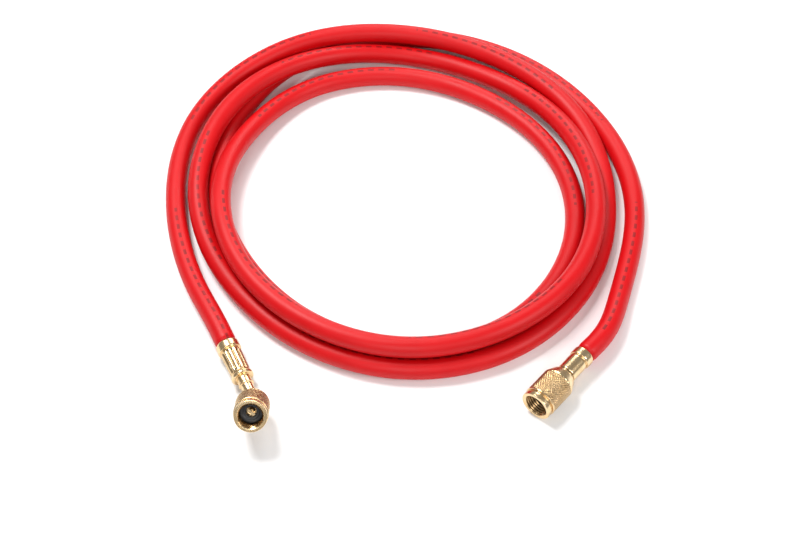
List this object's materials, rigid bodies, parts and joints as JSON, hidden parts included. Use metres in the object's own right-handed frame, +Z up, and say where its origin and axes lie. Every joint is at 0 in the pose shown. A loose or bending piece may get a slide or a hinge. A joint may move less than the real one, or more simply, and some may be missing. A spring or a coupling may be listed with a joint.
{
  "type": "refrigerant charging hose",
  "caption": "Coiled rubber hose with crimped brass ends and knurled swivel flare nuts; one end is straight, the other bent with a core depressor.",
  "frame": {"origin": "middle of the whole object's base, on the floor that the coil lies on", "axes": "+Z up out of the floor; the coil lies in the XY plane; both fittings point towards -Y, the bent one on the -X side and the straight one on the +X side"},
  "size_m": [0.239, 0.2643, 0.0273],
  "materials": {
    "hose_rubber": "satin red rubber",
    "brass": "bright turned brass",
    "nut_brass": "bright brass with a fine knurl",
    "seal_rubber": "black seal rubber"
  },
  "bodies": {
    "hose": {"hose": "hose_rubber", "ferrule_angled_end": "brass", "stem_angled_end": "brass", "gasket_angled_end": "seal_rubber", "core_depressor": "brass", "ferrule_straight_end": "brass", "stem_straight_end": "brass", "gasket_straight_end": "seal_rubber"},
    "angled_nut": {"nut_angled_end": "nut_brass"},
    "straight_nut": {"nut_straight_end": "nut_brass"}
  },
  "joints": [
    {"name": "angled_nut_turn", "type": "hinge", "parent": "hose", "child": "angled_nut", "pos_m": [-0.06862, -0.11092, 0.008], "axis": [0.0307, -0.767, 0.6409], "continuous": true},
    {"name": "straight_nut_turn", "type": "hinge", "parent": "hose", "child": "straight_nut", "pos_m": [0.07228, -0.0971, 0.00806], "axis": [-0.6468, -0.7626, 0.0105], "continuous": true}
  ]
}
